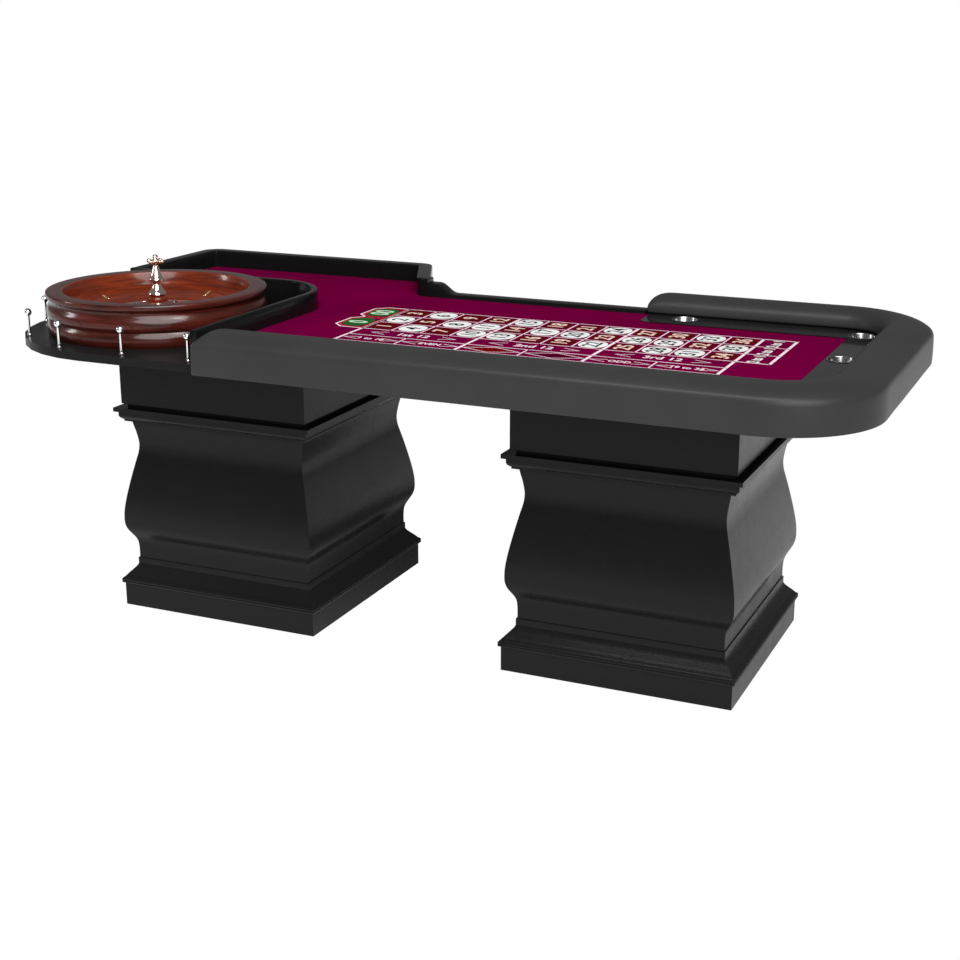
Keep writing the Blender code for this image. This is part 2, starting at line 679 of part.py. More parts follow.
def rotor(parent, wood, steel, brass, enamel, gold):
    running = 0.001
    pan = [(BEARING_RADIUS + GAP, ROTOR_BOTTOM), (ROTOR_RADIUS, ROTOR_BOTTOM), (ROTOR_RADIUS, ROTOR_DECK)]
    add("rotor_pan", lathe(pan + [(BEARING_RADIUS + GAP, ROTOR_DECK)], WHEEL_SIDES), steel, parent=parent)
    sleeve = rectangle(SPINDLE_RADIUS + running, BEARING_RADIUS, ROTOR_BOTTOM + 0.001, ROTOR_DECK - 0.001)
    add("rotor_bearing", lathe(sleeve, CUP_SIDES), steel, parent=parent)
    add("pocket_ring", pocket_ring(), brass, parent=parent)
    low = ROTOR_DECK + GAP
    inner = POCKET_OUTER + FACET_GAP
    band = [(inner, low), (ROTOR_RADIUS, low), (ROTOR_RADIUS, 0.8800), (inner, FRET_TOP + 0.001)]
    add("number_ring", lathe(band, WHEEL_SIDES), enamel, parent=parent)
    add("rotor_cone", lathe(rotor_cone_profile(), WHEEL_SIDES), wood, parent=parent)
    foot = APEX_Z + GAP
    dome = [(0, foot), (APEX_RADIUS, foot), (APEX_RADIUS - 0.0005, 0.9140), (APEX_RADIUS - 0.0030, 0.9190)]
    dome += [(APEX_RADIUS - 0.0075, 0.9235), (APEX_RADIUS - 0.0135, DOME_TOP), (0, DOME_TOP)]
    add("turret_base", lathe(dome, 24), wood, parent=parent)
    add("turret_body", lathe(turret_body_profile(), 24), gold, parent=parent)
    turret_cross(parent, gold)


def wheel(wood, steel, brass, enamel, gold):
    axis = bpy.data.objects.new("wheel_axis", None)
    axis.location = (WHEEL_X, WHEEL_Y, 0)
    bpy.context.collection.objects.link(axis)
    bowl(axis, wood, steel)
    deflectors(axis, brass)
    rotor(axis, wood, steel, brass, enamel, gold)


def main():
    clear_scene()
    finish("guide", (0.5, 0.5, 0.5), 0.5)
    black = finish("black_lacquer", (0.012, 0.012, 0.013), 0.35)
    timber = finish("bare_timber", (0.45, 0.30, 0.17), 0.7)
    board = finish("particle_board", (0.40, 0.31, 0.22), 0.8)
    felt = finish("burgundy_felt", (0.105, 0.0, 0.027), 0.95)
    vinyl = finish("charcoal_vinyl", (0.042, 0.042, 0.042), 0.5)
    shelf_finish = finish("gloss_black", (0.010, 0.010, 0.010), 0.15)
    steel = finish("polished_steel", (0.62, 0.62, 0.63), 0.18, 1.0)
    chrome = finish("chrome", (0.75, 0.75, 0.76), 0.06, 1.0)
    wood = finish("mahogany", (0.105, 0.018, 0.008), 0.18)
    brass = finish("brass", (0.78, 0.56, 0.27), 0.2, 1.0)
    enamel = finish("number_enamel", (0.02, 0.02, 0.02), 0.25)
    gold = finish("rose_gold", (0.80, 0.55, 0.44), 0.12, 1.0)
    for side in PEDESTAL_X:
        pedestal(side, black)
    shelf = table_top(black, timber, board, felt, vinyl, shelf_finish)
    walls(black)
    cup_holders(steel, shelf)
    posts(chrome)
    wheel(wood, steel, brass, enamel, gold)


main()
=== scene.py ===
"""Looks for the roulette table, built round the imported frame. Metres, +Z up, the frame's own axes."""
import json
import math

import bmesh
import bpy
import numpy as np
from mathutils import Matrix, Vector


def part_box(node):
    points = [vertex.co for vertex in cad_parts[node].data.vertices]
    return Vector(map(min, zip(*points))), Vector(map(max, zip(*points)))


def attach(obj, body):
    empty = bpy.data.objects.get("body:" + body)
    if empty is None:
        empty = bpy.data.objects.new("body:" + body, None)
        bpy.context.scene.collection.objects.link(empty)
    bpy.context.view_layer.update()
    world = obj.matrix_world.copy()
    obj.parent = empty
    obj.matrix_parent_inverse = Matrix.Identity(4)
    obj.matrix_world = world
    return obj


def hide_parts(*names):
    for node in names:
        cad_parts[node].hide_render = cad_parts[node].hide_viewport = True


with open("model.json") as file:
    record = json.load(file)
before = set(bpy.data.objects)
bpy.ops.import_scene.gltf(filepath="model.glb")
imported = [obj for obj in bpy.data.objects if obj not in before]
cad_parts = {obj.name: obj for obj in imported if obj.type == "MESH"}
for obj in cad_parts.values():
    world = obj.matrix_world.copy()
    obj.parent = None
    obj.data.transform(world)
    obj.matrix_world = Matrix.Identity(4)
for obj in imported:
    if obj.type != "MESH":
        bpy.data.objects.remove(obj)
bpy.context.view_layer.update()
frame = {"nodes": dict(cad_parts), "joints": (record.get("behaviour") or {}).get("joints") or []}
NODES = frame["nodes"]
TABLE, ROTOR = "table", "rotor"

GAP = 0.0003
WHEEL = frame["joints"][0]["pos_m"]
WHEEL_X, WHEEL_Y = WHEEL[0], WHEEL[1]
AXIS = (WHEEL_X, WHEEL_Y, 0)
FELT_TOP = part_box("layout_felt")[1].z
FELT_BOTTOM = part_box("layout_felt")[0].z
SHELF_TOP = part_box("shelf_board_1")[1].z
SLAB_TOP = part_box("base_board")[1].z
PAD_LOW, PAD_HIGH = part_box("armrest_pad")
PEDESTALS = ("left", "right")


# --- Mesh helpers -----------------------------------------------------------------------------

def piece(name, bm, material, body=TABLE, stands_for=(), location=(0, 0, 0), sharp=35):
    """A named mesh that rides on a body, with outward faces and smooth shading."""
    bmesh.ops.recalc_face_normals(bm, faces=bm.faces)
    mesh = bpy.data.meshes.new(name)
    bm.to_mesh(mesh)
    bm.free()
    mesh.shade_smooth()
    mesh.set_sharp_from_angle(angle=math.radians(sharp))
    mesh.materials.append(material)
    mesh.transform(Matrix.Translation(location))
    obj = bpy.data.objects.new(name, mesh)
    bpy.context.collection.objects.link(obj)
    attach(obj, body)
    if stands_for:
        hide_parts(*stands_for)
    return obj


def smooth_line(points, steps):
    """A Catmull-Rom curve through the points, with a few steps between each pair."""
    pts = [np.array(p, float) for p in points]
    pts = [2 * pts[0] - pts[1]] + pts + [2 * pts[-1] - pts[-2]]
    found = []
    for index in range(1, len(pts) - 2):
        a, b, c, d = pts[index - 1:index + 3]
        for step in range(steps):
            t = step / steps
            square = (2 * a - 5 * b + 4 * c - d) * t ** 2
            cube = (3 * b - a - 3 * c + d) * t ** 3
            value = 2 * b + (c - a) * t + square + cube
            found.append(tuple(value / 2))
    found.append(tuple(pts[-2]))
    return found


def stations(corners, closed=False, step_degrees=4.0):
    """Walks a polyline of (x, y, corner radius), rounds it, and gives (point, left normal) pairs."""
    points = [Vector(corner[:2]) for corner in corners]
    count = len(points)
    found = []
    for index, corner in enumerate(corners):
        here = points[index]
        if not closed and index in (0, count - 1):
            other = points[1] if index == 0 else points[-2]
            along = (other - here).normalized() * (1 if index == 0 else -1)
            found.append((here, Vector((-along.y, along.x))))
            continue
        before = (here - points[index - 1]).normalized()
        after = (points[(index + 1) % count] - here).normalized()
        turn = -before.angle_signed(after)
        left = Vector((-before.y, before.x))
        radius = corner[2]
        if radius == 0:
            middle = (left + Vector((-after.y, after.x))).normalized()
            found.append((here, middle / math.cos(turn / 2)))
            continue
        side = 1 if turn > 0 else -1
        start = here - before * radius * math.tan(abs(turn) / 2)
        centre = start + left * side * radius
        steps = max(3, math.ceil(math.degrees(abs(turn)) / step_degrees))
        for step in range(steps + 1):
            normal = left.copy()
            normal.rotate(Matrix.Rotation(turn * step / steps, 2))
            found.append((centre - normal * side * radius, normal))
    return found


def densify(walk, longest):
    """Adds stations along the straight runs, so that no step is longer than longest."""
    found = [walk[0]]
    for (p, n), (q, m) in zip(walk, walk[1:]):
        steps = max(1, math.ceil((q - p).length / longest))
        for step in range(1, steps + 1):
            t = step / steps
            found.append((p.lerp(q, t), n.lerp(m, t).normalized() * n.lerp(m, t).length))
    return found


def skin(rings, closed=False):
    """A tube through rings of points, capped at its ends unless it closes on itself."""
    bm = bmesh.new()
    loops = [[bm.verts.new(point) for point in ring] for ring in rings]
    pairs = list(zip(loops, loops[1:]))
    if closed:
        pairs.append((loops[-1], loops[0]))
    for first, second in pairs:
        for index in range(len(first)):
            bm.faces.new((first[index - 1], first[index], second[index], second[index - 1]))
    if not closed:
        bm.faces.new(loops[0])
        bm.faces.new(loops[-1])
    return bm


def lathe(profile, sides):
    """Turns a (radius, z) profile about Z. It closes on itself or has both ends on the axis."""
    bm = bmesh.new()
    verts = [bm.verts.new((radius, 0, height)) for radius, height in profile]
    edges = [bm.edges.new(pair) for pair in zip(verts, verts[1:])]
    if profile[0][0] > 0:
        edges.append(bm.edges.new((verts[-1], verts[0])))
    bmesh.ops.spin(
        bm, geom=verts + edges, axis=(0, 0, 1), cent=(0, 0, 0), angle=math.tau, steps=sides, use_merge=True
    )
    bmesh.ops.remove_doubles(bm, verts=bm.verts, dist=1e-6)
    return bm


def prism(outline, low, high):
    bm = bmesh.new()
    floor = bm.faces.new([bm.verts.new((point[0], point[1], low)) for point in outline])
    top = bmesh.ops.extrude_face_region(bm, geom=[floor])["geom"]
    raised = [item for item in top if isinstance(item, bmesh.types.BMVert)]
    bmesh.ops.translate(bm, verts=raised, vec=(0, 0, high - low))
    return bm


def joined(parts):
    """One bmesh made of several."""
    whole = bmesh.new()
    for bm in parts:
        mesh = bpy.data.meshes.new("part")
        bm.to_mesh(mesh)
        bm.free()
        whole.from_mesh(mesh)
        bpy.data.meshes.remove(mesh)
    return whole


# --- Material helpers -------------------------------------------------------------------------

class Nodes:
    """A short way to write a node tree."""

    def __init__(self, name, colour, roughness, metallic=0.0, **sockets):
        self.material = bpy.data.materials.new(name)
        self.material.use_nodes = True
        self.tree = self.material.node_tree
        self.shader = self.tree.nodes["Principled BSDF"]
        self.shader.inputs["Base Color"].default_value = (*colour, 1)
        self.shader.inputs["Roughness"].default_value = roughness
        self.shader.inputs["Metallic"].default_value = metallic
        for socket, value in sockets.items():
            self.shader.inputs[socket.replace("_", " ")].default_value = value
        self.where = self.make("ShaderNodeTexCoord").outputs["Object"]
        self.bump_chain = None

    def make(self, kind, inputs=None, **settings):
        node = self.tree.nodes.new(kind)
        for key, value in settings.items():
            setattr(node, key, value)
        for key, value in (inputs or {}).items():
            self.feed(node.inputs[key], value)
        return node

    def feed(self, socket, value):
        if isinstance(value, bpy.types.NodeSocket):
            self.tree.links.new(value, socket)
        else:
            socket.default_value = value

    def noise(self, scale, detail=4.0, roughness=0.5, stretch=(1, 1, 1), vector=None):
        mapped = self.make("ShaderNodeMapping", {"Vector": vector or self.where, "Scale": stretch})
        node = self.make("ShaderNodeTexNoise", {
            "Vector": mapped.outputs[0], "Scale": scale, "Detail": detail, "Roughness": roughness,
        })
        return node.outputs["Fac"]

    def voronoi(self, scale, feature="F1", vector=None):
        node = self.make(
            "ShaderNodeTexVoronoi", {"Vector": vector or self.where, "Scale": scale}, feature=feature
        )
        return node.outputs["Distance"]

    def remap(self, value, low, high, from_low=0.0, from_high=1.0):
        node = self.make("ShaderNodeMapRange", {
            "Value": value, "From Min": from_low, "From Max": from_high, "To Min": low, "To Max": high,
        })
        return node.outputs["Result"]

    def maths(self, operation, a, b=0.0):
        return self.make("ShaderNodeMath", {0: a, 1: b}, operation=operation).outputs[0]

    def ramp(self, value, stops):
        node = self.make("ShaderNodeValToRGB", {"Fac": value})
        bar = node.color_ramp.elements
        while len(bar) < len(stops):
            bar.new(0.5)
        for element, (place, colour) in zip(bar, stops):
            element.position = place
            element.color = (*colour, 1)
        return node.outputs["Color"]

    def colour(self, value):
        self.feed(self.shader.inputs["Base Color"], value)

    def rough(self, value):
        self.feed(self.shader.inputs["Roughness"], value)

    def bump(self, height, strength, distance):
        inputs = {"Height": height, "Strength": strength, "Distance": distance}
        if self.bump_chain:
            inputs["Normal"] = self.bump_chain
        self.bump_chain = self.make("ShaderNodeBump", inputs).outputs["Normal"]
        self.feed(self.shader.inputs["Normal"], self.bump_chain)


def lacquer(name, base, worn, roughness, shine, grain=(1, 1, 12)):
    """Black lacquer over board: faint streaks of the wood under it, and small unevenness in the gloss."""
    n = Nodes(name, base, roughness, Specular_IOR_Level=shine)
    streaks = n.noise(40, 6, 0.6, grain)
    n.colour(n.ramp(streaks, [(0.30, base), (0.72, worn)]))
    n.rough(n.remap(n.noise(14, 6, 0.65), roughness - 0.03, roughness + 0.04, 0.3, 0.7))
    n.bump(n.noise(90, 4, 0.6, grain), 0.03, 0.0004)
    n.bump(n.noise(420, 2), 0.04, 0.0002)
    return n.material


def polished(name, colour, roughness, streak=(1, 1, 1), strength=0.03):
    """Bright metal with fine turning or drawing marks."""
    n = Nodes(name, colour, roughness, 1.0)
    marks = n.noise(260, 4, 0.6, streak)
    n.rough(n.remap(marks, roughness * 0.7, roughness * 1.4, 0.3, 0.7))
    n.bump(marks, strength, 0.0002)
    return n.material


def mahogany(name, dark, light, low_gloss=0.05):
    """Turned wood: the grain runs round the wheel's axis, under a deep clear coat."""
    n = Nodes(name, light, 0.22, Coat_Weight=0.22, Coat_Roughness=low_gloss, Specular_IOR_Level=0.2)
    apart = n.make("ShaderNodeSeparateXYZ", {"Vector": n.where})
    x = n.maths("SUBTRACT", apart.outputs["X"], WHEEL_X)
    y = n.maths("SUBTRACT", apart.outputs["Y"], WHEEL_Y)
    turn = n.maths("ARCTAN2", y, x)
    radius = n.maths("SQRT", n.maths("ADD", n.maths("MULTIPLY", x, x), n.maths("MULTIPLY", y, y)))
    seam_free = n.make("ShaderNodeCombineXYZ", {
        "X": n.maths("MULTIPLY", n.maths("COSINE", turn), 0.16),
        "Y": n.maths("MULTIPLY", n.maths("SINE", turn), 0.16),
        "Z": n.maths("ADD", n.maths("MULTIPLY", radius, 2.2), n.maths("MULTIPLY", apart.outputs["Z"], 2.6)),
    }).outputs[0]
    broad = n.noise(16, 5, 0.55, (1, 1, 2.4), seam_free)
    fine = n.noise(60, 6, 0.65, (1, 1, 7.0), seam_free)
    grain = n.maths("ADD", n.maths("MULTIPLY", broad, 0.6), n.maths("MULTIPLY", fine, 0.4))
    middle = tuple((a + b) / 2 for a, b in zip(dark, light))
    n.colour(n.ramp(grain, [(0.36, dark), (0.50, middle), (0.63, light)]))
    n.rough(n.remap(fine, 0.16, 0.30, 0.3, 0.7))
    n.bump(n.noise(5, 2), 0.05, 0.002)
    return n.material


def vinyl():
    n = Nodes("charcoal_vinyl_grain", (0.022, 0.0222, 0.0224), 0.36, Specular_IOR_Level=0.18)
    n.colour(n.ramp(n.noise(7, 4), [(0.3, (0.0205, 0.0207, 0.0209)), (0.7, (0.0235, 0.0237, 0.0240))]))
    cells = n.voronoi(620)
    n.rough(n.remap(cells, 0.30, 0.42, 0.0, 0.6))
    n.bump(cells, 0.16, 0.0004)
    n.bump(n.noise(1400, 2), 0.08, 0.0002)
    n.bump(n.noise(6, 3, 0.5, (1, 1, 2)), 0.10, 0.004)
    return n.material


def cloth(name, base, deep, worn):
    """Napped wool cloth. Inks use it too, so that the weave shows through the print."""
    n = Nodes(name, base, 0.9, Sheen_Weight=0.01, Sheen_Roughness=0.45, Specular_IOR_Level=0.0)
    n.shader.inputs["Sheen Tint"].default_value = (*worn, 1)
    waves = [
        n.make("ShaderNodeTexWave", {"Vector": n.where, "Scale": 330.0, "Distortion": 1.2}, bands_direction=way)
        for way in ("X", "Y")
    ]
    weave = n.maths("MULTIPLY", waves[0].outputs["Fac"], waves[1].outputs["Fac"])
    fuzz = n.noise(900, 4, 0.7)
    patch = n.noise(5, 5, 0.6)
    mixed = n.maths("ADD", n.maths("MULTIPLY", fuzz, 0.65), n.maths("MULTIPLY", patch, 0.35))
    n.colour(n.ramp(mixed, [(0.34, deep), (0.60, base)]))
    n.bump(weave, 0.18, 0.0003)
    n.bump(fuzz, 0.25, 0.0004)
    return n.material


def gloss(name, base, roughness, coat=0.0):
    n = Nodes(name, base, roughness, Coat_Weight=coat, Coat_Roughness=0.02, Specular_IOR_Level=0.3)
    n.rough(n.remap(n.noise(30, 6, 0.6), roughness * 0.7, roughness * 1.5, 0.35, 0.65))
    n.bump(n.noise(14, 2), 0.03, 0.0006)
    return n.material


def raw_board():
    n = Nodes("pressed_board", (0.36, 0.27, 0.18), 0.85)
    chips = n.voronoi(260)
    n.colour(n.ramp(chips, [(0.1, (0.42, 0.33, 0.22)), (0.6, (0.22, 0.15, 0.09))]))
    n.bump(chips, 0.3, 0.001)
    return n.material


GRAIN_ALONG_X = (12, 1, 1)
PEDESTAL_BLACK = lacquer(
    "pedestal_lacquer_satin", (0.0056, 0.0056, 0.0058), (0.0068, 0.0068, 0.0070), 0.26, 0.12,
)
SLAB_BLACK = lacquer(
    "slab_lacquer_satin", (0.0075, 0.0075, 0.0078), (0.0095, 0.0095, 0.0098), 0.30, 0.06, GRAIN_ALONG_X,
)
WALL_BLACK = lacquer(
    "wall_lacquer_gloss", (0.0034, 0.0034, 0.0036), (0.0046, 0.0046, 0.0048), 0.14, 0.12, GRAIN_ALONG_X,
)
SHELF_BLACK = gloss("shelf_mirror_black", (0.0016, 0.0016, 0.0018), 0.07)
VINYL = vinyl()
FELT = cloth("burgundy_wool", (0.118, 0.0000, 0.0310), (0.086, 0.0000, 0.0220), (0.35, 0.00, 0.12))
INK_WHITE = cloth("ink_white", (0.72, 0.60, 0.64), (0.56, 0.42, 0.47), (0.8, 0.7, 0.7))
INK_PALE = cloth("ink_pale", (0.66, 0.67, 0.66), (0.50, 0.51, 0.50), (0.8, 0.8, 0.8))
INK_BLACK = cloth("ink_black", (0.022, 0.024, 0.026), (0.012, 0.013, 0.014), (0.1, 0.1, 0.1))
INK_RED = cloth("ink_red", (0.080, 0.003, 0.004), (0.056, 0.002, 0.003), (0.3, 0.1, 0.1))
INK_DIAMOND_RED = cloth("ink_diamond_red", (0.125, 0.0025, 0.003), (0.090, 0.0015, 0.002), (0.3, 0.1, 0.1))
INK_DIAMOND_DARK = cloth("ink_diamond_dark", (0.060, 0.0006, 0.015), (0.044, 0.0004, 0.011), (0.2, 0.0, 0.1))
INK_LINE_RED = cloth("ink_line_red", (0.46, 0.030, 0.020), (0.33, 0.018, 0.012), (0.6, 0.2, 0.2))
INK_GREEN = cloth("ink_green", (0.012, 0.085, 0.018), (0.008, 0.055, 0.010), (0.1, 0.3, 0.1))
INK_CREAM = cloth("ink_cream", (0.70, 0.50, 0.43), (0.54, 0.38, 0.32), (0.8, 0.7, 0.6))
INK_MINT = cloth("ink_mint", (0.42, 0.58, 0.42), (0.32, 0.46, 0.32), (0.6, 0.8, 0.6))
INKS = {
    "white": INK_WHITE, "pale": INK_PALE, "black": INK_BLACK, "red": INK_RED, "line_red": INK_LINE_RED,
    "green": INK_GREEN, "cream": INK_CREAM, "mint": INK_MINT,
    "diamond_red": INK_DIAMOND_RED, "diamond_dark": INK_DIAMOND_DARK,
}
STEEL = polished("drawn_steel", (0.36, 0.36, 0.37), 0.20, (1, 1, 9))
CHROME = polished("post_chrome_bright", (0.80, 0.80, 0.81), 0.05, (1, 1, 5), 0.01)
BRASS = polished("wheel_brass_bright", (0.83, 0.60, 0.30), 0.14, (1, 1, 5))
ROSE = polished("rose_gold_bright", (0.86, 0.66, 0.57), 0.08, (1, 1, 6), 0.01)
BOWL_OUTSIDE = mahogany("bowl_mahogany", (0.017, 0.0030, 0.0020), (0.062, 0.0095, 0.0055))
BOWL_INSIDE = mahogany("track_mahogany", (0.050, 0.0065, 0.0025), (0.160, 0.0230, 0.0065), 0.04)
CONE_WOOD = mahogany("rotor_mahogany_gloss", (0.050, 0.0060, 0.0025), (0.150, 0.0210, 0.0060), 0.04)
ENAMEL_BLACK = gloss("enamel_black", (0.008, 0.008, 0.009), 0.16, 1.0)
ENAMEL_RED = gloss("enamel_red", (0.36, 0.010, 0.012), 0.16, 1.0)
ENAMEL_GREEN = gloss("enamel_green", (0.010, 0.165, 0.045), 0.16, 1.0)
ENAMEL_WHITE = gloss("enamel_white", (0.80, 0.79, 0.76), 0.30)
BOARD = raw_board()


# --- CAD nodes that stay ----------------------------------------------------------------------

def dress(names, material, bevel=0.0, split_degrees=38):
    """Finishes a CAD node: welded and smooth, with its hard edges eased, and a procedural material."""
    for name in names:
        obj = NODES[name]
        mesh = obj.data
        if "custom_normal" in mesh.attributes:
            mesh.attributes.remove(mesh.attributes["custom_normal"])
        mesh.shade_smooth()
        weld = obj.modifiers.new("weld", "WELD")
        weld.merge_threshold = 0.00002
        if bevel:
            ease = obj.modifiers.new("ease", "BEVEL")
            ease.width = bevel
            ease.segments = 2
            ease.limit_method = "ANGLE"
            ease.angle_limit = math.radians(30)
            ease.harden_normals = False
        split = obj.modifiers.new("split", "EDGE_SPLIT")
        split.split_angle = math.radians(split_degrees)
        mesh.materials.clear()
        mesh.materials.append(material)


def dress_frame():
    """The CAD nodes that are seen as they are."""
    for side in PEDESTALS:
        parts = ("plinth", "base_moulding", "cap_moulding", "cap_board", "neck_box")
        dress([f"pedestal_{side}_{part}" for part in parts], PEDESTAL_BLACK, 0.0, 24)
    dress(["base_board"], SLAB_BLACK)
    dress([f"shelf_board_{number}" for number in range(1, 8)], SHELF_BLACK)
    dress(["tall_chip_wall", "wheel_fence", "low_chip_wall"], WALL_BLACK, 0.0010)
    dress(["playfield_board"], BOARD)
    dress(["armrest_core"], VINYL)
    dress(["wheel_spindle", "rotor_pan", "rotor_bearing"], STEEL)
    dress(["wheel_base_plate"], BOWL_OUTSIDE)


# --- Pedestals --------------------------------------------------------------------------------

PEDESTAL_BOARD = 0.022      # the thickness of the shaped boards


def pedestal_body(side):
    """The four shaped sides of one pedestal as one shell, with crisp corners."""
    name = f"pedestal_{side}_body"
    near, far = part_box(name)
    low, high = near.z, far.z
    centre = (near.x + far.x) / 2
    deeper = far.y - (far.x - centre)
    fillet = [(0.2900, low), (0.2900, 0.1425), (0.2896, 0.1436), (0.2868, 0.1445)]
    hollow = [(0.2866, 0.150), (0.2865, 0.164), (0.2870, 0.180), (0.2887, 0.195), (0.2935, 0.208)]
    belly = [(0.3010, 0.221), (0.3085, 0.235), (0.3130, 0.251), (0.3140, 0.270), (0.3128, 0.293)]
    taper = [(0.3090, 0.320), (0.3030, 0.352), (0.2930, 0.398), (0.2830, 0.440), (0.2765, 0.466)]
    waist = [
        (0.2738, 0.489), (0.2750, 0.508), (0.2785, 0.530), (0.2825, 0.548), (0.2845, 0.559), (0.2845, high),
    ]
    profile = fillet + smooth_line(hollow + belly + taper + waist, 4)
    rings = []
    for x_side, y_side in ((-1, -1), (1, -1), (1, 1), (-1, 1)):
        outer = [(x_side * half, y_side * (half + deeper), z) for half, z in profile]
        inner = [
            (x_side * (half - PEDESTAL_BOARD), y_side * (half + deeper - PEDESTAL_BOARD), z)
            for half, z in reversed(profile)
        ]
        rings.append(outer + inner)
    body = skin(rings, closed=True)
    piece(f"pedestal_{side}_ogee", body, PEDESTAL_BLACK, stands_for=[name],
          location=(centre, 0, 0), sharp=40)


# --- Armrest ----------------------------------------------------------------------------------

SKIN = 0.002                # the least cover left over the timber rail at the pad's ends
ARMREST_BACK_X = 0.414      # where the pad stops along the back edge
ARMREST_CORNER = 0.260
ARMREST_WIDTH = 0.138
CORE_INSIDE, CORE_OUTSIDE = 0.1055, 0.0325
END_ROUNDING = 0.050        # the run at each end where the pad closes over
PAD_HEART = (0.070, 0.868)  # the point of the section that the ends shrink towards


def armrest():
    """Foam under vinyl, pulled tight over the timber rail and down over the slab's edge."""
    walk = stations([
        (PAD_LOW.x, PAD_LOW.y, 0), (PAD_HIGH.x, PAD_LOW.y, ARMREST_CORNER),
        (PAD_HIGH.x, PAD_HIGH.y, ARMREST_CORNER), (ARMREST_BACK_X, PAD_HIGH.y, 0),
    ], step_degrees=2.5)
    walk = densify(walk, 0.02)
    low, foot, width = PAD_LOW.z, SHELF_TOP + GAP, ARMREST_WIDTH
    core_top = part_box("armrest_core")[1].z + GAP
    crown = smooth_line([
        (0.0045, low), (0.0012, low + 0.0016), (0.0000, low + 0.0065), (-0.0006, 0.8400), (0.0000, 0.8740),
        (0.0012, 0.8850), (0.0052, 0.8940), (0.0150, 0.9018), (0.0300, 0.9094), (0.0500, 0.9156),
        (0.0720, 0.9188), (0.0930, 0.9190), (0.1100, 0.9145), (0.1240, 0.9052), (0.1335, 0.8925),
        (width - 0.0006, 0.8790), (width - 0.0012, foot + 0.0030), (width - 0.0045, foot),
    ], 3)
    hollow = [(CORE_INSIDE, foot), (CORE_INSIDE, core_top), (CORE_OUTSIDE, core_top), (CORE_OUTSIDE, low)]
    section = crown + hollow
    travelled = [0.0]
    for (p, _), (q, _) in zip(walk, walk[1:]):
        travelled.append(travelled[-1] + (q - p).length)
    length = travelled[-1]

    def ring_at(point, normal, shrink, shift, sink=0.0):
        ring = []
        along = Vector((normal.y, -normal.x))
        for index, (side, height) in enumerate(section):
            pulled = shrink if index < len(crown) else 0.0
            s = side + (PAD_HEART[0] - side) * pulled
            above = max(0.0, height - core_top - SKIN) * sink if index < len(crown) else 0.0
            place = point + normal * s + along * shift
            ring.append((place.x, place.y, height - above))
        return ring

    ends = [
        (0.0000, 0.060, 0.74), (0.0010, 0.036, 0.64), (0.0030, 0.018, 0.53), (0.0065, 0.008, 0.41),
        (0.0120, 0.003, 0.30), (0.0190, 0.001, 0.19), (0.0280, 0.000, 0.10), (0.0400, 0.000, 0.03),
    ]
    first_p, first_n = walk[0]
    last_p, last_n = walk[-1]
    rings = [ring_at(first_p, first_n, shrink, shift, sink) for shift, shrink, sink in ends]
    for place, (point, normal) in zip(travelled, walk):
        if END_ROUNDING <= place <= length - END_ROUNDING:
            wobble = 0.0004 * math.sin(place * 23.0) * math.sin(place * 7.1)
            rings.append(ring_at(point, normal, wobble * 10, 0))
    rings += [ring_at(last_p, last_n, shrink, -shift, sink) for shift, shrink, sink in reversed(ends)]
    bm = skin(rings)
    obj = piece("armrest_vinyl_pad", bm, VINYL, stands_for=["armrest_pad"], sharp=60)
    return obj


# --- Felt and printed layout ------------------------------------------------------------------

def felt_outline():
    """The felt's edge, read from the frame: the boundary of its top face, in order."""
    mesh = NODES["layout_felt"].data
    bm = bmesh.new()
    bm.from_mesh(mesh)
    bmesh.ops.remove_doubles(bm, verts=bm.verts, dist=1e-5)
    top = [f for f in bm.faces if f.normal.z > 0.9]
    inside = set(top)
    nxt = {}
    for face in top:
        for loop in face.loops:
            others = [f for f in loop.edge.link_faces if f is not face]
            if not any(f in inside for f in others):
                nxt[loop.vert.index] = (loop.link_loop_next.vert.index, loop.vert.co.copy())
    start = next(iter(nxt))
    outline, here = [], start
    while True:
        follow, co = nxt[here]
        outline.append(Vector((co.x, co.y)))
        here = follow
        if here == start:
            break
    bm.free()
    return outline


PRINT_Z = FELT_TOP + 0.00005
PRINT_THICK = 0.00012
THIN_LINE, HEAVY_LINE = 0.0042, 0.0085
UP_LEFT = math.pi / 2       # numbers are read from the wheel's side
GRID_LEFT, GRID_RIGHT = -0.2400, 0.8205
GRID_BACK, GRID_FRONT = 0.1475, -0.1525
DOZEN_FRONT, OUTSIDE_FRONT = -0.2335, -0.3135
COLUMN_RIGHT = 0.9100
ZERO_LEFT = -0.3400
PITCH = (GRID_RIGHT - GRID_LEFT) / 12
ROW = (GRID_BACK - GRID_FRONT) / 3
RED_NUMBERS = {1, 3, 5, 7, 9, 12, 14, 16, 18, 19, 21, 23, 25, 27, 30, 32, 34, 36}


def bar(x0, y0, x1, y1, width, level=0):
    """A printed line between two points."""
    a, b = Vector((x0, y0)), Vector((x1, y1))
    along = (b - a).normalized() * width / 2
    across = Vector((-along.y, along.x))
    corners = [a - along + across, a - along - across, b + along - across, b + along + across]
    low = PRINT_Z + level * PRINT_THICK
    return prism(corners, low, low + PRINT_THICK)


def oval(x, y, half_x, half_y, level, sides=40, power=1.0):
    points = []
    for index in range(sides):
        turn = math.tau * index / sides
        c, s = math.cos(turn), math.sin(turn)
        points.append((
            x + half_x * math.copysign(abs(c) ** power, c), y + half_y * math.copysign(abs(s) ** power, s)
        ))
    low = PRINT_Z + level * PRINT_THICK
    return prism(points, low, low + PRINT_THICK)


